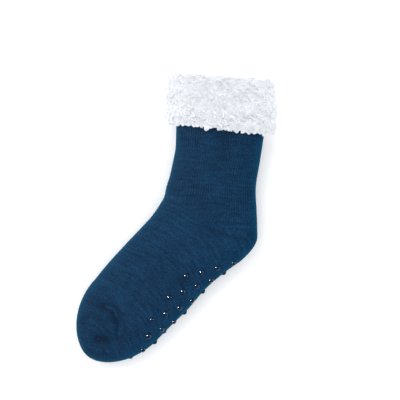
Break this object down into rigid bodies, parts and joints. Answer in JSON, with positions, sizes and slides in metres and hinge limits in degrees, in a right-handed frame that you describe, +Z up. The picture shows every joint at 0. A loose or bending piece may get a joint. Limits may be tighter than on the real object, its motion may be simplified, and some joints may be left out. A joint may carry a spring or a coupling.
{
  "type": "slipper sock",
  "caption": "Knitted slipper sock lying on its side, with a turned-over fleece cuff and silicone grip dots on the sole.",
  "frame": {"origin": "on the floor, under the middle of the sock's bounding box", "axes": "+Y up the leg to the collar, with the foot towards -X and -Y; +Z up from the floor, through the side that shows"},
  "size_m": [0.2034, 0.3452, 0.0606],
  "materials": {
    "knit": "matt petrol blue knit with fine upright wales",
    "fleece": "white curly fleece pile",
    "silicone": "glossy, nearly clear silicone over the knit"
  },
  "bodies": {
    "root": {"knit_upper": "knit", "sherpa_cuff": "fleece", "grip_dot_01": "silicone", "grip_dot_02": "silicone", "grip_dot_03": "silicone", "grip_dot_04": "silicone", "grip_dot_05": "silicone", "grip_dot_06": "silicone", "grip_dot_07": "silicone", "grip_dot_08": "silicone", "grip_dot_09": "silicone", "grip_dot_10": "silicone", "grip_dot_11": "silicone", "grip_dot_12": "silicone", "grip_dot_13": "silicone", "grip_dot_14": "silicone", "grip_dot_15": "silicone", "grip_dot_16": "silicone", "grip_dot_17": "silicone", "grip_dot_18": "silicone", "grip_dot_19": "silicone", "grip_dot_20": "silicone", "grip_dot_21": "silicone", "grip_dot_22": "silicone", "grip_dot_23": "silicone", "grip_dot_24": "silicone", "grip_dot_25": "silicone", "grip_dot_26": "silicone", "grip_dot_27": "silicone", "grip_dot_28": "silicone", "grip_dot_29": "silicone", "grip_dot_30": "silicone"}
  },
  "joints": []
}
